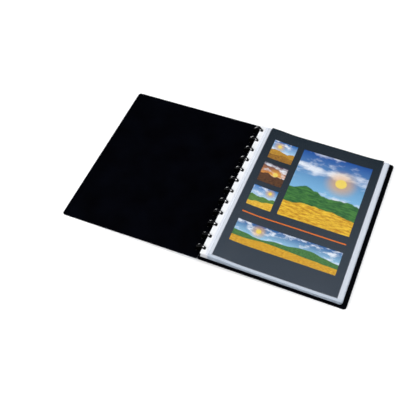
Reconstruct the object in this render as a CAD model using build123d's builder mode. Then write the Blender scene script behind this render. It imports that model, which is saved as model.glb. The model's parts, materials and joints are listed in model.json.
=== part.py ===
"""Clear pocket display book bound on discs, lying open with its front cover on the left."""
import os
from math import asin, atan2, cos, hypot, sin, sqrt

from build123d import *

# Insert: an A4 print in the top pocket
insert_width = 210.0
insert_height = 297.0
insert_thickness = 0.15

# Room round the insert inside its pocket, and how far it stands out of the pocket's mouth
insert_spine_room = 6.7
insert_fore_room = 9.2
insert_foot_room = 6.0
insert_proud = 3.0

# Pockets: a white punched strip between two films, welded at the bottom and along the fore-edge
pocket_count = 10
pocket_pitch = 1.04
strip_width = 13.2
strip_thickness = 0.3
film_thickness = 0.1
film_overlap = 4.0
weld_width = 3.0
weld_corner_gap = 0.5
pocket_corner = 2.5

# Past the strips the stack settles: the films bend down and take up most of the gap below them
settle_share = 0.75
lowest_share = 0.25
bend_margin = 2.0
bend_length = 60.0

# Covers: two black sheets round the pockets, the front one with a label strip on its outside
cover_thickness = 1.1
cover_gap = 0.6
spine_corner = 3.0
fore_corner = 5.0
cover_fore_margin = 12.4
cover_foot_margin = 5.5
cover_head_margin = 6.5
label_width = 40.0
label_thickness = 0.25

# Discs: a thin web and a thick rim, standing proud of the closed covers
disc_count = 12
disc_end_margin = 17.4
disc_proud = 3.2
rim_depth = 2.0
rim_width = 5.6
rim_chamfer = 1.2
web_thickness = 1.8

# Slots: the rim runs in the head and the web in the neck, between two lips
rim_clearance = 0.35
head_side_clearance = 0.4
neck_side_clearance = 0.5
head_corner = 1.0
strip_lip = 1.2

# The pockets are sized round the insert, and the covers round the pockets
pocket_width = strip_width + insert_spine_room + insert_width + insert_fore_room
pocket_height = insert_foot_room + insert_height - insert_proud
cover_width = pocket_width + cover_fore_margin
cover_height = cover_foot_margin + pocket_height + cover_head_margin

# Heights from the disc axis, square to the sheets
half_stack = pocket_count * pocket_pitch / 2
half_book = half_stack + cover_thickness
label_face = half_book + label_thickness
disc_radius = half_book + disc_proud
rim_inside = disc_radius - rim_depth
pocket_gap = pocket_pitch - strip_thickness - 2 * film_thickness
settle = settle_share * pocket_gap

disc_pitch = (cover_height - 2 * disc_end_margin) / (disc_count - 1)
slot_places = [disc_pitch * (i - (disc_count - 1) / 2) for i in range(disc_count)]
head_width = rim_width + 2 * head_side_clearance
neck_width = web_thickness + 2 * neck_side_clearance


def rim_crossing(near, far):
    """Inner and outer reach of the rim through a sheet with faces near and far from the axis."""
    return sqrt(rim_inside**2 - far**2), sqrt(disc_radius**2 - near**2)


# The covers lie furthest from the axis, so the rim's crossing there sets the length of every slot
inner_reach, outer_reach = rim_crossing(half_stack, label_face)
head_length = outer_reach - inner_reach + 2 * rim_clearance


def head_start(near, far):
    """Distance from the axis to a sheet's slot heads, which are centred on the rim."""
    return sum(rim_crossing(near, far)) / 2 - head_length / 2


# The covers' lips reach in until the two covers almost meet
cover_edge = cover_gap / 2
cover_lip = head_start(half_stack, label_face) - cover_edge

# Each cover slopes from the discs to its fore-edge, which rests on the table
fore_edge = cover_edge + cover_width
tilt = asin(disc_radius / hypot(fore_edge, half_book)) - atan2(half_book, fore_edge)
axis_point = (0, 0, disc_radius)
right = Plane(axis_point, x_dir=(cos(tilt), 0, -sin(tilt)), z_dir=(sin(tilt), 0, cos(tilt)))
left = Plane(axis_point, x_dir=(-cos(tilt), 0, -sin(tilt)), z_dir=(-sin(tilt), 0, cos(tilt)))

cover_foot = -cover_height / 2
pocket_foot = cover_foot + cover_foot_margin
pocket_head = pocket_foot + pocket_height
insert_head = pocket_head + insert_proud


def punched_outline(plane, edge, width, foot, height, lip, spine_corner=0.0, fore_corner=0.0):
    """Outline of a sheet with a slot at every disc, and rounded corners where they are given."""
    depth = head_length / 2
    side = head_width / 2
    with BuildSketch(plane) as outline:
        with Locations((edge + width / 2, foot + height / 2)):
            Rectangle(width, height)
        if spine_corner:
            fillet(outline.vertices().group_by(Axis.X)[0], spine_corner)
        if fore_corner:
            fillet(outline.vertices().group_by(Axis.X)[-1], fore_corner)
        with Locations(*[(edge + lip + depth, y) for y in slot_places]):
            Polygon(
                (-depth, -side),
                (depth - head_corner, -side),
                (depth, head_corner - side),
                (depth, side - head_corner),
                (depth - head_corner, side),
                (-depth, side),
                mode=Mode.SUBTRACT,
            )
        with Locations(*[(edge, y) for y in slot_places]):
            Rectangle(2 * lip + head_corner, neck_width, mode=Mode.SUBTRACT)
    return outline.sketch


def section_plane(head):
    """Plane across the right-hand sheets at their top end, looking down the spine."""
    return Plane((0, head, disc_radius), x_dir=right.x_dir, z_dir=(0, -1, 0))


def settled_section(head, first, last, low, thickness, bend, fall):
    """End view of a sheet that runs level to the bend, falls through two arcs and runs on level."""
    middle = bend + bend_length / 2
    end = bend + bend_length
    with BuildSketch(section_plane(head)) as section:
        with BuildLine():
            for level in (low, low + thickness):
                Line((first, level), (bend, level))
                drop = TangentArc((bend, level), (middle, level - fall / 2), tangent=(1, 0))
                TangentArc((middle, level - fall / 2), (end, level - fall), tangent=drop % 1)
                Line((end, level - fall), (last, level - fall))
            Line((first, low), (first, low + thickness))
            Line((last, low - fall), (last, low + thickness - fall))
        make_face()
    return section.sketch


def lower_corner(piece):
    """Short edge of a pocket piece at its foot, on the fore-edge side."""
    upright = piece.edges().filter_by(Axis(axis_point, right.z_dir))
    return upright.group_by(Axis.Y)[0].sort_by(Axis.X)[-1]


os.makedirs("parts", exist_ok=True)

# Back cover, on the right
with BuildPart() as back_cover:
    extrude(punched_outline(right.offset(-half_book), cover_edge, cover_width, cover_foot, cover_height,
                            cover_lip, spine_corner, fore_corner), amount=cover_thickness)
back_cover.part.label = "back_cover"
export_step(back_cover.part, "parts/back_cover.step")

# Front cover, swung over to the left
with BuildPart() as front_cover:
    extrude(punched_outline(left.offset(-half_book), cover_edge, cover_width, cover_foot, cover_height,
                            cover_lip, spine_corner, fore_corner), amount=cover_thickness)
front_cover.part.label = "front_cover"
export_step(front_cover.part, "parts/front_cover.step")

# Label strip, on the outside of the front cover and punched with it
with BuildPart() as label_strip:
    extrude(punched_outline(left.offset(-label_face), cover_edge, label_width, cover_foot, cover_height,
                            cover_lip, spine_corner), amount=label_thickness)
label_strip.part.label = "label_strip"
export_step(label_strip.part, "parts/label_strip.step")

# Discs, counted from the top of the book
for number, place in enumerate(reversed(slot_places), start=1):
    with BuildPart() as disc:
        with BuildSketch(Plane((0, place, disc_radius))):
            with BuildLine():
                Polyline(
                    (0, 0),
                    (0, web_thickness / 2),
                    (rim_inside, web_thickness / 2),
                    (rim_inside, rim_width / 2),
                    (disc_radius - rim_chamfer, rim_width / 2),
                    (disc_radius, rim_width / 2 - rim_chamfer),
                    (disc_radius, 0),
                    close=True,
                )
            make_face()
            mirror(about=Plane.XZ)
        revolve(axis=Axis((0, place, disc_radius), (0, 1, 0)))
    disc.part.label = f"disc_{number:02}"
    export_step(disc.part, f"parts/{disc.part.label}.step")

# Pockets, counted from the top of the stack
for number in range(1, pocket_count + 1):
    middle = half_stack - (number - 0.5) * pocket_pitch
    low = middle - strip_thickness / 2
    high = middle + strip_thickness / 2
    near, far = sorted((abs(low), abs(high)))
    edge = head_start(near, far) - strip_lip
    strip_end = edge + strip_width
    bend = strip_end + bend_margin
    last = edge + pocket_width
    fall = settle * (pocket_count - number + lowest_share)
    film_start = strip_end - film_overlap

    with BuildPart() as strip:
        extrude(punched_outline(right.offset(low), edge, strip_width, pocket_foot, pocket_height,
                                strip_lip), amount=strip_thickness)
    with BuildPart() as front_film:
        extrude(settled_section(pocket_head, film_start, last, high, film_thickness, bend, fall),
                amount=pocket_height)
        fillet(lower_corner(front_film), pocket_corner)
    with BuildPart() as back_film:
        extrude(settled_section(pocket_head, film_start, last, low - film_thickness, film_thickness,
                                bend, fall), amount=pocket_height)
        fillet(lower_corner(back_film), pocket_corner)
    with BuildPart() as welds:
        extrude(settled_section(pocket_foot + weld_width, strip_end, last, low, strip_thickness,
                                bend, fall), amount=weld_width)
        fillet(lower_corner(welds), pocket_corner)
        with BuildSketch(section_plane(pocket_head)):
            with Locations((last - weld_width / 2, middle - fall)):
                Rectangle(weld_width, strip_thickness)
        extrude(amount=pocket_height - weld_width - weld_corner_gap)

    for piece, name in ((strip, "strip"), (front_film, "front_film"), (back_film, "back_film"),
                        (welds, "welds")):
        piece.part.label = f"pocket_{number:02}_{name}"
        export_step(piece.part, f"parts/{piece.part.label}.step")

    if number == 1:
        insert_edge = strip_end + insert_spine_room
        with BuildPart() as insert_sheet:
            extrude(settled_section(insert_head, strip_end, insert_edge + insert_width,
                                    middle - insert_thickness / 2, insert_thickness, bend, fall),
                    amount=insert_height)
            split(bisect_by=Plane(right.from_local_coords((insert_edge, 0, 0)), z_dir=right.x_dir))
        insert_sheet.part.label = "insert_sheet"
        export_step(insert_sheet.part, "parts/insert_sheet.step")
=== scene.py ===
"""Looks of the clear pocket display book: black covers, clear pockets, white strips, glossy discs."""
import json
from math import cos, radians, sin, tau

import bmesh
import bpy
from mathutils import Matrix, Vector


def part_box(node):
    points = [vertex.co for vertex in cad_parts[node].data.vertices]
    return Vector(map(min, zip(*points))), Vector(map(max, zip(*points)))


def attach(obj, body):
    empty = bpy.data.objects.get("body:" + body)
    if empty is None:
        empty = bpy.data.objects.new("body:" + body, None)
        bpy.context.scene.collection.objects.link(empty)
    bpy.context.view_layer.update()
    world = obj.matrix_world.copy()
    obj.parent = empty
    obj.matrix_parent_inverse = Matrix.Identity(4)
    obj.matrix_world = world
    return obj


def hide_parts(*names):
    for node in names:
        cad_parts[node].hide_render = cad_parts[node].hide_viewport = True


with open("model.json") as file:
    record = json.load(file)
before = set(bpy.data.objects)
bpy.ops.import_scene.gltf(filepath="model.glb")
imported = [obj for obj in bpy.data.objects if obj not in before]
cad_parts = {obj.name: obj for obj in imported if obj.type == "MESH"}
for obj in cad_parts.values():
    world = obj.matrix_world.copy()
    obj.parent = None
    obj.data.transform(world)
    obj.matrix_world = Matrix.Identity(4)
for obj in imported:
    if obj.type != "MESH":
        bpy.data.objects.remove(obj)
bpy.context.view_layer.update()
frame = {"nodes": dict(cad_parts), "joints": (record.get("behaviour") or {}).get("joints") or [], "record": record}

MM = 0.001
scene = bpy.context.scene
nodes = frame["nodes"]
bodies = frame["record"]["behaviour"]["bodies"]
pockets = sorted(name for name in bodies if name.startswith("pocket_"))
discs = sorted(name for name in bodies if name.startswith("disc_"))

# Where the sheets turn and how far they lean. The front cover closes by half a turn and twice its lean
disc_low, disc_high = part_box(discs[0])
axis_height = (disc_low.z + disc_high.z) / 2
disc_radius = (disc_high.z - disc_low.z) / 2
closing = next(joint for joint in frame["joints"] if joint["name"] == "front_cover_turn")
lean = radians((max(abs(end) for end in closing["range_deg"]) - 180) / 2)

# Other places read off the frame
insert_low, insert_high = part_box("insert_sheet")
strip_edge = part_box("pocket_01_strip")[1].x
label_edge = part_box("label_strip")[0].x
cover_low, cover_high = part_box("back_cover")

# The bend that lets the pockets settle, as in the solids
bend_margin = 2 * MM
bend_length = 60 * MM

# How finely sheets and discs are divided, and how close points are one point
grid_step = 4 * MM
disc_steps = 72
bevel_steps = 4
merge_gap = 0.01 * MM

# How the fore-edge curls up, most at its upper corner, and how the film waves
curl_length = 48 * MM
curl_foot = 1.6 * MM
curl_head = 3.6 * MM
wave_height = 0.2 * MM
wave_up = 38 * MM
wave_along = 29 * MM


def on_sheet(point):
    """A point of the frame as length from the discs, place up the spine and height over the sheet."""
    up = point.z - axis_height
    return Vector((point.x * cos(lean) - up * sin(lean), point.y,
                   point.x * sin(lean) + up * cos(lean)))


def in_frame(point):
    """The opposite of on_sheet."""
    return Vector((point.x * cos(lean) + point.z * sin(lean), point.y,
                   axis_height - point.x * sin(lean) + point.z * cos(lean)))


def sheet_box(node):
    """Lowest and highest corners of a right-hand node, measured along its leaning sheet."""
    points = [on_sheet(vertex.co) for vertex in nodes[node].data.vertices]
    return (Vector(min(point[i] for point in points) for i in range(3)),
            Vector(max(point[i] for point in points) for i in range(3)))


# Colours and materials

def srgb(code):
    """A hex colour as linear red, green, blue and alpha."""
    parts = [int(code[i:i + 2], 16) / 255 for i in (1, 3, 5)]
    return (*(p / 12.92 if p <= 0.04045 else ((p + 0.055) / 1.055) ** 2.4 for p in parts), 1.0)


def new_tree(name):
    """A new material and its empty node tree."""
    material = bpy.data.materials.new(name)
    material.use_nodes = True
    material.node_tree.nodes.clear()
    return material, material.node_tree


def add_node(tree, kind, inputs=None, stops=(), **settings):
    """Adds a node with its settings, colour stops and links.

    An input takes a value, a socket, or a node, which feeds it from its first output.
    """
    new = tree.nodes.new(kind)
    for name, value in settings.items():
        setattr(new, name, value)
    for name, value in (inputs or {}).items():
        socket = next(one for i, one in enumerate(new.inputs)
                      if one.enabled and name in (i, one.name))
        if isinstance(value, bpy.types.Node):
            value = next(output for output in value.outputs if output.enabled)
        if isinstance(value, bpy.types.NodeSocket):
            tree.links.new(value, socket)
        else:
            socket.default_value = value
    for element, (share, colour) in zip(new.color_ramp.elements if stops else (), stops):
        element.position = share
        element.color = srgb(colour)
    return new


# How a moulded plastic's colour drifts and how far its roughness varies
drift_length = 45 * MM
gloss_spread = 0.05


def moulded_plastic(name, dark, light, grain, grain_depth, roughness, shine):
    """Plastic with a moulded grain: its colour drifts a little, and the grain breaks up the gloss."""
    material, tree = new_tree(name)
    place = add_node(tree, "ShaderNodeTexCoord").outputs["Object"]
    drift = add_node(tree, "ShaderNodeTexNoise", {
        "Vector": place, "Scale": 1 / drift_length, "Detail": 3.0})
    colour = add_node(tree, "ShaderNodeValToRGB", {"Fac": drift}, stops=[(0.3, dark), (0.7, light)])
    pits = add_node(tree, "ShaderNodeTexNoise", {
        "Vector": place, "Scale": 1 / grain, "Detail": 2.0})
    gloss = add_node(tree, "ShaderNodeMapRange", {
        "Value": pits, "From Min": 0.3, "From Max": 0.7,
        "To Min": roughness - gloss_spread, "To Max": roughness + gloss_spread})
    bump = add_node(tree, "ShaderNodeBump", {"Height": pits, "Distance": grain_depth})
    shader = add_node(tree, "ShaderNodeBsdfPrincipled", {
        "Base Color": colour, "Roughness": gloss, "Normal": bump, "IOR": 1.49,
        "Specular IOR Level": shine})
    add_node(tree, "ShaderNodeOutputMaterial", {"Surface": shader})
    return material


# Black polypropylene sheet with a matt sand grain: near black, with only a faint cool sheen, since
# the pits swallow most of the gloss. The real grain is about 0.3 mm, drawn at 1.2 mm so that it shows.
cover_plastic = moulded_plastic("black_polypropylene", "#010103", "#030409",
                                1.2 * MM, 0.02 * MM, 0.42, 0.02)

# Black ABS from a polished mould: deep black, with small clean highlights along the rims. The mould
# leaves faint waves about 3 mm long.
rim_plastic = moulded_plastic("polished_black_abs", "#030304", "#060607",
                              3 * MM, 0.004 * MM, 0.1, 0.15)

# The same ABS left satin on the web: a softer black inside the rim. The real grain is about 0.1 mm,
# drawn at 0.8 mm so that it shows.
web_plastic = moulded_plastic("satin_black_abs", "#030303", "#060606",
                              0.8 * MM, 0.02 * MM, 0.5, 0.05)

# White polypropylene strip, lightly grained: even, slightly cool white with a soft sheen. The real
# grain is about 0.3 mm, drawn at 1.5 mm so that it shows.
strip_plastic = moulded_plastic("white_polypropylene", "#edeff2", "#f3f4f6",
                                1.5 * MM, 0.01 * MM, 0.4, 0.5)


# Clear polypropylene film: a glossy, see-through window, with a milky border where the pockets lie on
# each other round the printed sheet. The slack film waves, which bends its reflections.
haze_start = 0.3 * MM
haze_end = 2.3 * MM
window_haze, border_haze = 0.003, 0.62
least_gleam, most_gleam = 0.025, 0.9
slack_length = 35 * MM
slack_depth = 0.2 * MM
clear_film, tree = new_tree("clear_polypropylene_film")
place = add_node(tree, "ShaderNodeTexCoord").outputs["Object"]
spot = add_node(tree, "ShaderNodeSeparateXYZ", {"Vector": place})
fore = add_node(tree, "ShaderNodeMapRange", {"Value": spot.outputs["X"],
                                             "From Min": insert_high.x + haze_start,
                                             "From Max": insert_high.x + haze_end})
spine = add_node(tree, "ShaderNodeMapRange", {"Value": spot.outputs["X"],
                                              "From Min": insert_low.x - haze_start,
                                              "From Max": insert_low.x - haze_end})
bare = add_node(tree, "ShaderNodeMath", {0: spot.outputs["X"], 1: strip_edge},
                operation="GREATER_THAN")
foot = add_node(tree, "ShaderNodeMapRange", {"Value": spot.outputs["Y"],
                                             "From Min": insert_low.y - haze_start,
                                             "From Max": insert_low.y - haze_end})
sides = add_node(tree, "ShaderNodeMath", {0: fore, 1: spine}, operation="MAXIMUM")
edges = add_node(tree, "ShaderNodeMath", {0: sides, 1: foot}, operation="MAXIMUM")
border = add_node(tree, "ShaderNodeMath", {0: edges, 1: bare}, operation="MULTIPLY")
haze = add_node(tree, "ShaderNodeMapRange", {
    "Value": border, "To Min": window_haze, "To Max": border_haze})
waves = add_node(tree, "ShaderNodeTexNoise", {
    "Vector": place, "Scale": 1 / slack_length, "Detail": 1.0})
slack = add_node(tree, "ShaderNodeBump", {"Height": waves, "Distance": slack_depth})
tilt = add_node(tree, "ShaderNodeLayerWeight", {"Blend": 0.5, "Normal": slack})
rise = add_node(tree, "ShaderNodeMath", {0: tilt.outputs["Facing"], 1: 5.0}, operation="POWER")
gleam = add_node(tree, "ShaderNodeMapRange", {
    "Value": rise, "To Min": least_gleam, "To Max": most_gleam})
clear = add_node(tree, "ShaderNodeBsdfTransparent", {"Color": srgb("#fbfcfe")})
mirror = add_node(tree, "ShaderNodeBsdfGlossy", {"Roughness": 0.2, "Normal": slack})
window = add_node(tree, "ShaderNodeMixShader", {0: gleam, 1: clear, 2: mirror})
# The milky border's colour carries painted light and shade: painted lighter towards the strip, and painted darker
# and bluer along the foot.
milk_painted_light_shade = add_node(tree, "ShaderNodeMix", {"Factor": spine, "A": srgb("#e9eff8"),
                                        "B": srgb("#eff4fc")}, data_type="RGBA")
milk_painted_light_shade = add_node(tree, "ShaderNodeMix", {"Factor": foot, "A": milk_painted_light_shade,
                                        "B": srgb("#d8e2ee")}, data_type="RGBA")
milk = add_node(tree, "ShaderNodeBsdfPrincipled", {
    "Base Color": milk_painted_light_shade, "Roughness": 0.25, "IOR": 1.49, "Normal": slack})
film = add_node(tree, "ShaderNodeMixShader", {0: haze, 1: window, 2: milk})
add_node(tree, "ShaderNodeOutputMaterial", {"Surface": film})

# Welded film: the two films run together under a ribbed bar, which leaves a milky, ribbed line.
# A wave texture of scale 1 repeats every tau / 20.
rib_pitch = 1.5 * MM
rib_depth = 0.05 * MM
groove_haze, rib_haze = 0.5, 0.75
welded_film, tree = new_tree("welded_polypropylene_film")
place = add_node(tree, "ShaderNodeTexCoord").outputs["Object"]
ribs = add_node(tree, "ShaderNodeTexWave", {"Vector": place, "Scale": tau / 20 / rib_pitch},
                bands_direction="DIAGONAL")
press = add_node(tree, "ShaderNodeBump", {"Height": ribs, "Distance": rib_depth})
haze = add_node(tree, "ShaderNodeMapRange", {
    "Value": ribs, "To Min": groove_haze, "To Max": rib_haze})
clear = add_node(tree, "ShaderNodeBsdfTransparent", {"Color": srgb("#fbfcfe")})
milk = add_node(tree, "ShaderNodeBsdfPrincipled", {
    "Base Color": srgb("#d9e6f6"), "Roughness": 0.3, "IOR": 1.49, "Normal": press})
weld = add_node(tree, "ShaderNodeMixShader", {0: haze, 1: clear, 2: milk})
add_node(tree, "ShaderNodeOutputMaterial", {"Surface": weld})


# The real print grain is about 0.2 mm, drawn at 2 mm so that it shows
print_grain = 2 * MM
paper_relief = 0.01 * MM


def printed_paper(name, low_colour, high_colour):
    """Coated paper in one printed colour, which changes up the sheet, with a faint print grain. On the slate
    ground the change is painted reflection, lighter towards the foot.
    """
    material, tree = new_tree(name)
    place = add_node(tree, "ShaderNodeTexCoord").outputs["Object"]
    spot = add_node(tree, "ShaderNodeSeparateXYZ", {"Vector": place})
    rise = add_node(tree, "ShaderNodeMapRange", {
        "Value": spot.outputs["Y"], "From Min": insert_low.y, "From Max": insert_high.y,
        "To Min": 0.1, "To Max": 0.9})
    grain = add_node(tree, "ShaderNodeTexNoise", {
        "Vector": place, "Scale": 1 / print_grain, "Detail": 2.0})
    # The grain's tone is real. The change up the sheet is painted reflection on the slate ground.
    grain_and_painted_reflection = add_node(tree, "ShaderNodeMath", {0: grain, 1: 0.2, 2: rise},
                      operation="MULTIPLY_ADD")
    colour = add_node(tree, "ShaderNodeValToRGB", {"Fac": grain_and_painted_reflection},
                      stops=[(0.1, low_colour), (1.0, high_colour)])
    bump = add_node(tree, "ShaderNodeBump", {"Height": grain, "Distance": paper_relief})
    shader = add_node(tree, "ShaderNodeBsdfPrincipled", {
        "Base Color": colour, "Roughness": 0.5, "IOR": 1.5,
        "Specular IOR Level": 0.3, "Normal": bump})
    add_node(tree, "ShaderNodeOutputMaterial", {"Surface": shader})
    return material


def printed_view(name, low, size, horizon, sun, seed, sky, hills, field):
    """Coated paper with a small printed view: sky, clouds, a sun, far hills and a field in rows."""
    left, bottom = insert_low.x + low[0] * MM, insert_low.y + low[1] * MM
    wide, tall = size[0] * MM, size[1] * MM
    sun_across, sun_up, sun_radius = sun[0] * wide, sun[1] * tall, sun[2] * MM
    material, tree = new_tree(name)
    place = add_node(tree, "ShaderNodeTexCoord").outputs["Object"]
    share = add_node(tree, "ShaderNodeMapping", {
        "Vector": place, "Location": (-left / wide, -bottom / tall, seed),
        "Scale": (1 / wide, 1 / tall, 1)})
    spot = add_node(tree, "ShaderNodeSeparateXYZ", {"Vector": share})
    across, height = spot.outputs["X"], spot.outputs["Y"]

    # Sky and clouds
    air = add_node(tree, "ShaderNodeValToRGB", {"Fac": height},
                   stops=[(horizon, sky[1]), (1.0, sky[0])])
    drift = add_node(tree, "ShaderNodeMapping", {"Vector": share, "Scale": (wide / tall, 2.2, 1)})
    puffs = add_node(tree, "ShaderNodeTexNoise", {
        "Vector": drift, "Scale": 2.6, "Detail": 8.0, "Roughness": 0.6})
    cloud = add_node(tree, "ShaderNodeMapRange", {
        "Value": puffs, "From Min": 0.5, "From Max": 0.64, "To Max": 0.95})
    picture = add_node(tree, "ShaderNodeMix", {"Factor": cloud, "A": air, "B": srgb("#f6f8fa")},
                       data_type="RGBA")

    # Sun, its glow first
    flat = add_node(tree, "ShaderNodeVectorMath", {0: place, 1: (1, 1, 0)}, operation="MULTIPLY")
    gap = add_node(tree, "ShaderNodeVectorMath", {
        0: flat, 1: (left + sun_across, bottom + sun_up, 0)}, operation="DISTANCE")
    for reach, glow, colour in ((3.2, 0.55, "#ffb52e"), (1.0, 1.0, "#ffe066")):
        light = add_node(tree, "ShaderNodeMapRange", {
            "Value": gap, "From Min": sun_radius * reach, "From Max": sun_radius * 0.8,
            "To Max": glow}, interpolation_type="SMOOTHSTEP")
        picture = add_node(tree, "ShaderNodeMix", {"Factor": light, "A": picture, "B": srgb(colour)},
                           data_type="RGBA")

    # Far hills, then the field before them
    stretch = add_node(tree, "ShaderNodeMapping", {"Vector": share, "Scale": (wide / tall, 4, 1)})
    rows = add_node(tree, "ShaderNodeTexNoise", {
        "Vector": stretch, "Scale": 11.0, "Detail": 5.0, "Roughness": 0.65})
    ridges = ((2.3, 0.34, horizon + 0.08, hills), (1.2, 0.3, horizon * 0.62, field))
    for layer, (bumps, relief, level, colours) in enumerate(ridges):
        run = add_node(tree, "ShaderNodeMath", {0: across, 1: bumps, 2: seed + 3 * layer},
                       operation="MULTIPLY_ADD")
        ridge = add_node(tree, "ShaderNodeTexNoise", {
            "W": run, "Scale": 1.0, "Detail": 4.0, "Roughness": 0.4}, noise_dimensions="1D")
        crest = add_node(tree, "ShaderNodeMath", {0: ridge, 1: relief, 2: level - relief / 2},
                         operation="MULTIPLY_ADD")
        below = add_node(tree, "ShaderNodeMath", {0: crest, 1: height}, operation="SUBTRACT")
        ground = add_node(tree, "ShaderNodeMapRange", {"Value": below, "From Max": 0.012})
        soil = add_node(tree, "ShaderNodeValToRGB", {"Fac": rows},
                        stops=[(0.36, colours[0]), (0.62, colours[1])])
        picture = add_node(tree, "ShaderNodeMix", {"Factor": ground, "A": picture, "B": soil},
                           data_type="RGBA")
    shader = add_node(tree, "ShaderNodeBsdfPrincipled", {
        "Base Color": picture, "Roughness": 0.45, "IOR": 1.5, "Specular IOR Level": 0.3})
    add_node(tree, "ShaderNodeOutputMaterial", {"Surface": shader})
    return material


# Coated paper, printed: a slate ground, lighter towards the foot as a painted reflection of pale film haze, a warm
# rule, and bare white on the back.
slate_print = printed_paper("slate_printed_paper", "#3c454e", "#001824")
rule_print = printed_paper("orange_printed_paper", "#e06a1c", "#f08228")
bare_paper = printed_paper("bare_coated_paper", "#eeeeec", "#f3f3f1")

# Printed card: a grey ground, a green line along its outer edge, and a fine paper grain. The real
# grain is about 0.2 mm, drawn at 1.5 mm so that it shows.
label_line = 2.2 * MM
card_grain = 1.5 * MM
card_relief = 0.02 * MM
label_card, tree = new_tree("printed_label_card")
place = add_node(tree, "ShaderNodeTexCoord").outputs["Object"]
spot = add_node(tree, "ShaderNodeSeparateXYZ", {"Vector": place})
line = add_node(tree, "ShaderNodeMath", {0: spot.outputs["X"], 1: label_edge + label_line},
                operation="LESS_THAN")
grain = add_node(tree, "ShaderNodeTexNoise", {
    "Vector": place, "Scale": 1 / card_grain, "Detail": 3.0})
grey = add_node(tree, "ShaderNodeValToRGB", {"Fac": grain},
                stops=[(0.3, "#586b7b"), (0.7, "#647787")])
green = add_node(tree, "ShaderNodeValToRGB", {"Fac": grain},
                 stops=[(0.3, "#2f8a60"), (0.7, "#3d9970")])
colour = add_node(tree, "ShaderNodeMix", {"Factor": line, "A": grey, "B": green}, data_type="RGBA")
bump = add_node(tree, "ShaderNodeBump", {"Height": grain, "Distance": card_relief})
shader = add_node(tree, "ShaderNodeBsdfPrincipled", {
    "Base Color": colour, "Roughness": 0.5, "IOR": 1.5, "Specular IOR Level": 0.3, "Normal": bump})
add_node(tree, "ShaderNodeOutputMaterial", {"Surface": shader})


# Pieces

# Edges that turn more than this look crisp
sharp_turn = radians(40)


def finish_piece(mesh_maker, name, body, node, materials):
    """Makes a bmesh an object in the frame, with crisp edges, that stands for a CAD node."""
    bmesh.ops.recalc_face_normals(mesh_maker, faces=mesh_maker.faces[:])
    for face in mesh_maker.faces:
        face.smooth = True
    mesh = bpy.data.meshes.new(name)
    mesh_maker.to_mesh(mesh)
    mesh_maker.free()
    mesh.set_sharp_from_angle(angle=sharp_turn)
    for material in materials:
        mesh.materials.append(material)
    piece = bpy.data.objects.new(name, mesh)
    scene.collection.objects.link(piece)
    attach(piece, body)
    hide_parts(node)
    return piece


def add_flat(mesh_maker, low, high, height):
    """Adds a flat sheet in sheet measures, divided so that it can bend."""
    wide, tall = high[0] - low[0], high[1] - low[1]
    grid = bmesh.ops.create_grid(mesh_maker, x_segments=max(1, round(wide / grid_step)),
                                 y_segments=max(1, round(tall / (2 * grid_step))), size=0.5)
    bmesh.ops.scale(mesh_maker, vec=(wide, tall, 1), verts=grid["verts"])
    middle = ((low[0] + high[0]) / 2, (low[1] + high[1]) / 2, height)
    bmesh.ops.translate(mesh_maker, vec=middle, verts=grid["verts"])
    return grid["verts"]


def round_corner(mesh_maker, verts, radius):
    """Rounds a flat sheet's corner at the foot of the fore-edge."""
    corner = max(verts, key=lambda vert: vert.co.x - vert.co.y)
    bmesh.ops.bevel(mesh_maker, geom=[corner], offset=radius, offset_type="OFFSET",
                    affect="VERTICES", segments=bevel_steps, profile=0.5, material=-1)


# Where each pocket's strip ends, how far its film falls past it, and where the film ends
pocket_bend = {}
for pocket in pockets:
    strip_low, strip_high = sheet_box(f"{pocket}_strip")
    film_low, film_high = sheet_box(f"{pocket}_front_film")
    pocket_bend[pocket] = (strip_high.x, strip_high.z - film_low.z, film_high.x)
top_fall = pocket_bend[pockets[0]][1]


def bend_with_pocket(mesh_maker, pocket, thickness):
    """Thickens flat sheets and lays them along their pocket's bend and curl."""
    faces = mesh_maker.faces[:]
    top = bmesh.ops.extrude_face_region(mesh_maker, geom=faces)
    raised = [item for item in top["geom"] if isinstance(item, bmesh.types.BMVert)]
    bmesh.ops.translate(mesh_maker, vec=(0, 0, thickness), verts=raised)
    strip_end, fall, last = pocket_bend[pocket]
    for vert in mesh_maker.verts:
        along, up = vert.co.x, vert.co.y
        share = min(max((along - strip_end - bend_margin) / bend_length, 0), 1)
        drop = 2 * share ** 2 if share < 0.5 else 1 - 2 * (1 - share) ** 2
        edge = min(max((along - last + curl_length) / curl_length, 0), 1)
        climb = (up - cover_low.y) / (cover_high.y - cover_low.y)
        curl = edge ** 2 * (curl_foot + (curl_head - curl_foot) * climb ** 2)
        wave = share * wave_height * sin(up / wave_up) * sin(along / wave_along)
        lift = (curl + wave) * fall / top_fall
        vert.co = in_frame(Vector((along, up, vert.co.z - fall * drop + lift)))


# Pocket films and their welds. A hair's breadth keeps film and strip from sharing a face.
film_thickness = 0.1 * MM
film_clearance = 0.03 * MM
weld_width = 3 * MM
weld_gap = 0.5 * MM
pocket_corner = 2.5 * MM
for pocket in pockets:
    strip_low, strip_high = sheet_box(f"{pocket}_strip")
    film_low, film_high = sheet_box(f"{pocket}_front_film")
    for side, base in (("front", strip_high.z + film_clearance),
                       ("back", strip_low.z - film_clearance - film_thickness)):
        sheet = bmesh.new()
        verts = add_flat(sheet, film_low, film_high, base)
        round_corner(sheet, verts, pocket_corner)
        bend_with_pocket(sheet, pocket, film_thickness)
        finish_piece(sheet, f"{pocket}_{side}_clear_film", pocket, f"{pocket}_{side}_film",
                     [clear_film])
    weld_top = film_low.y + weld_width
    sheet = bmesh.new()
    verts = add_flat(sheet, (strip_high.x, film_low.y), (film_high.x, weld_top), strip_low.z)
    round_corner(sheet, verts, pocket_corner)
    add_flat(sheet, (film_high.x - weld_width, weld_top + weld_gap), film_high, strip_low.z)
    bend_with_pocket(sheet, pocket, strip_high.z - strip_low.z)
    finish_piece(sheet, f"{pocket}_weld_line", pocket, f"{pocket}_welds",
                 [welded_film])

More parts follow.
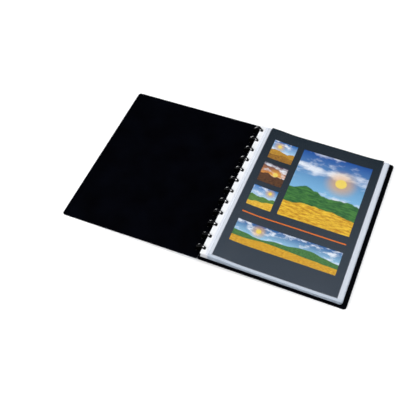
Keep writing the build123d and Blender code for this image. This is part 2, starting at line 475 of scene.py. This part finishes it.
# Printed sheet in the top pocket: five views and a rule on a slate ground.
# Places and sizes are in millimetres from its lower corner. The horizon and the sun's place are
# shares of the view, and the sun's radius is in millimetres.
views = {
    "tall": {"low": (70, 118), "size": (126, 154), "horizon": 0.36, "sun": (0.66, 0.66, 11),
             "seed": 1.0, "sky": ("#0a4f9e", "#8fcbea"), "hills": ("#1f5a2c", "#4d8a3c"),
             "field": ("#c98408", "#ffd23a")},
    "upper": {"low": (14, 228), "size": (44, 44), "horizon": 0.42, "sun": (0.3, 0.72, 4),
              "seed": 4.0, "sky": ("#1568b4", "#bfe2f2"), "hills": ("#a8701a", "#d9a534"),
              "field": ("#6d4313", "#c48a26")},
    "middle": {"low": (14, 173), "size": (44, 44), "horizon": 0.36, "sun": (0.6, 0.52, 5),
               "seed": 7.0, "sky": ("#33284a", "#f09a3c"), "hills": ("#4c2c1a", "#6e4420"),
               "field": ("#241a16", "#7a4a1e")},
    "lower": {"low": (14, 118), "size": (44, 44), "horizon": 0.45, "sun": (0.72, 0.8, 3.5),
              "seed": 9.5, "sky": ("#1e76be", "#cdeaf5"), "hills": ("#3d6f2f", "#6f9a44"),
              "field": ("#dc9a12", "#ffd548")},
    "wide": {"low": (14, 38), "size": (182, 46), "horizon": 0.45, "sun": (0.22, 0.74, 5),
             "seed": 12.0, "sky": ("#0f5a9c", "#a8d6ea"), "hills": ("#2c6434", "#5d9148"),
             "field": ("#c07f10", "#f7c436")},
}
rule = ((14, 100), (182, 2.5))
prints = [bare_paper, slate_print, rule_print]
areas = [rule]
for name, view in views.items():
    prints.append(printed_view(f"{name}_view_printed_paper", **view))
    areas.append((view["low"], view["size"]))

paper_thickness = 0.15 * MM
sheet_low, sheet_high = sheet_box("insert_sheet")
strip_low, strip_high = sheet_box("pocket_01_strip")
base = (strip_low.z + strip_high.z - paper_thickness) / 2
sheet = bmesh.new()
add_flat(sheet, sheet_low, sheet_high, base)
for low, size in areas:
    for axis in (0, 1):
        for edge in (low[axis], low[axis] + size[axis]):
            point, normal = Vector(sheet_low), Vector((0, 0, 0))
            point[axis] += edge * MM
            normal[axis] = 1
            bmesh.ops.bisect_plane(sheet, geom=sheet.verts[:] + sheet.edges[:] + sheet.faces[:],
                                   dist=merge_gap, plane_co=point, plane_no=normal)
for face in sheet.faces:
    face.material_index = 1
    centre = (face.calc_center_median() - sheet_low) / MM
    for index, (low, size) in enumerate(areas, start=2):
        if all(low[axis] < centre[axis] < low[axis] + size[axis] for axis in (0, 1)):
            face.material_index = index
bend_with_pocket(sheet, "pocket_01", paper_thickness)

# Its back and edges stay bare
bmesh.ops.recalc_face_normals(sheet, faces=sheet.faces[:])
for face in sheet.faces:
    if face.normal.z < 0.5:
        face.material_index = 0
finish_piece(sheet, "printed_sheet", "insert", "insert_sheet", prints)

# Discs: a thin web and a broad rim, slightly crowned and rounded at its edges
rim_depth = 2 * MM
web_thickness = 1.8 * MM
rim_crown = 0.35 * MM
rim_round = 0.3 * MM
rim_softness = 0.3 * MM
rim_inside = disc_radius - rim_depth
rim_floor = rim_inside + rim_softness
edge_turn = radians(60)
rims = bpy.data.collections.new("rims")
for name in discs:
    low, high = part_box(name)
    centre = (low + high) / 2
    rim_half = (high.y - low.y) / 2
    disc = bmesh.new()
    web = [(0, web_thickness / 2), (rim_inside, web_thickness / 2), (rim_inside, rim_half)]
    crown = [(disc_radius - rim_crown * share ** 2, rim_half * share)
             for share in (1, 0.5, 0, -0.5, -1)]
    profile = web + crown + [(out, -side) for out, side in reversed(web)]
    verts = [disc.verts.new(centre + Vector((out, side, 0))) for out, side in profile]
    edges = [disc.edges.new(pair) for pair in zip(verts, verts[1:])]
    bmesh.ops.spin(disc, geom=verts + edges, cent=centre, axis=(0, 1, 0), dvec=(0, 0, 0),
                   angle=tau, steps=disc_steps, use_merge=True)
    bmesh.ops.remove_doubles(disc, verts=disc.verts[:], dist=merge_gap)
    bmesh.ops.recalc_face_normals(disc, faces=disc.faces[:])
    turns = [edge for edge in disc.edges if edge.calc_face_angle(0) > edge_turn]
    outer = [edge for edge in turns if (edge.verts[0].co - centre).xz.length > rim_floor]
    inner = [edge for edge in turns if edge not in outer]
    for chosen, offset in ((outer, rim_round), (inner, rim_softness)):
        bmesh.ops.bevel(disc, geom=chosen, offset=offset, offset_type="OFFSET", affect="EDGES",
                        segments=bevel_steps, profile=0.5, material=-1)
    for face in disc.faces:
        middle = face.calc_center_median() - centre
        face.material_index = int(middle.xz.length < rim_floor)
    rims.objects.link(finish_piece(disc, f"glossy_{name}", name, name,
                                   [rim_plastic, web_plastic]))

# Finishes of the solids that stay as they are
finishes = {"back_cover": cover_plastic, "front_cover": cover_plastic, "label_strip": label_card}
finishes.update({f"{pocket}_strip": strip_plastic for pocket in pockets})
for name, material in finishes.items():
    for slot in nodes[name].material_slots:
        slot.material = material

# Floor: white paint that keeps the soft shadow, and is lifted to white out of the lamps' reach.
# Its sizes and the distances of the lift are in metres.
floor_radius = 8
floor_sides = 64
floor_drop = 0.2 * MM
lift_start, lift_end = 0.6, 2.4
near_lift, far_lift = 0.07, 0.8
studio_floor, tree = new_tree("white_studio_floor")
place = add_node(tree, "ShaderNodeTexCoord").outputs["Object"]
reach = add_node(tree, "ShaderNodeVectorMath", {0: place}, operation="LENGTH").outputs["Value"]
fade = add_node(tree, "ShaderNodeMapRange", {
    "Value": reach, "From Min": lift_start, "From Max": lift_end,
    "To Min": near_lift, "To Max": far_lift})
path = add_node(tree, "ShaderNodeLightPath")
seen = add_node(tree, "ShaderNodeMath", {0: path.outputs["Is Camera Ray"],
                                         1: path.outputs["Is Glossy Ray"]}, operation="MAXIMUM")
seen = add_node(tree, "ShaderNodeMath", {0: seen, 1: path.outputs["Is Transmission Ray"]},
                operation="MAXIMUM")
lift = add_node(tree, "ShaderNodeMath", {0: seen, 1: fade}, operation="MULTIPLY")
paint = add_node(tree, "ShaderNodeBsdfDiffuse", {"Color": srgb("#fbfbfb")})
glow = add_node(tree, "ShaderNodeEmission", {"Color": srgb("#ffffff"), "Strength": lift})
both = add_node(tree, "ShaderNodeAddShader", {0: paint, 1: glow})
add_node(tree, "ShaderNodeOutputMaterial", {"Surface": both})
ground = bmesh.new()
bmesh.ops.create_circle(ground, cap_ends=True, radius=floor_radius, segments=floor_sides,
                        matrix=Matrix.Translation((0, 0, -floor_drop)))
floor_mesh = bpy.data.meshes.new("studio_floor")
ground.to_mesh(floor_mesh)
ground.free()
floor_mesh.materials.append(studio_floor)
floor = bpy.data.objects.new("studio_floor", floor_mesh)
scene.collection.objects.link(floor)

# Studio: a white wall behind the floor, and a dim ceiling so that the black covers stay black
world = bpy.data.worlds.new("studio")
world.use_nodes = True
world.node_tree.nodes.clear()
tree = world.node_tree
around = add_node(tree, "ShaderNodeTexCoord").outputs["Generated"]
spot = add_node(tree, "ShaderNodeSeparateXYZ", {"Vector": around})
walls = add_node(tree, "ShaderNodeValToRGB", {"Fac": spot.outputs["Z"]},
                 stops=[(0.04, "#ffffff"), (0.14, "#5a5c60")])
air = add_node(tree, "ShaderNodeBackground", {"Color": walls, "Strength": 1.0})
add_node(tree, "ShaderNodeOutputWorld", {"Surface": air})
scene.world = world

# Soft boxes: place and aim in metres, width and height in metres, power in watts.
# Two of them shine on the rims alone, for the small bright spots that the black plastic needs.
soft_boxes = {
    "key_box": ((-1.3, -0.8, 1.3), (0.05, 0, 0), (1.5, 1.5), 42),
    "fill_box": ((1.15, 0.65, 1.3), (0.05, 0, 0), (1.4, 1.4), 24),
    "left_rim_box": ((-1.0, 1.35, 0.36), (0, 0, 0), (0.9, 0.4), 28),
    "right_rim_box": ((1.02, 0.6, 1.0), (0, 0, 0), (0.34, 0.52), 85),
}
for name, (stand, aim, (width, height), power) in soft_boxes.items():
    lamp = bpy.data.lights.new(name, "AREA")
    lamp.shape = "RECTANGLE"
    lamp.size = width
    lamp.size_y = height
    lamp.energy = power
    box = bpy.data.objects.new(name, lamp)
    look = (Vector(aim) - Vector(stand)).to_track_quat("-Z", "Y")
    box.matrix_world = Matrix.Translation(stand) @ look.to_matrix().to_4x4()
    scene.collection.objects.link(box)
    if name.endswith("rim_box"):
        box.light_linking.receiver_collection = rims

# Camera at the photograph's angle: from the front right, well above, with a slight roll
camera_place = Vector((279.3, -747.2, 1037.2)) * MM
camera_aim = Vector((-42.1, -41.0, 0)) * MM
camera_roll = radians(-2.35)
camera_data = bpy.data.cameras.new("camera")
camera_data.lens = 66.94
camera_data.sensor_width = 36
camera = bpy.data.objects.new("camera", camera_data)
look = (camera_aim - camera_place).to_track_quat("-Z", "Y")
camera.matrix_world = (Matrix.Translation(camera_place) @ look.to_matrix().to_4x4()
                       @ Matrix.Rotation(camera_roll, 4, "Z"))
scene.collection.objects.link(camera)
scene.camera = camera
scene.view_settings.view_transform = "Standard"
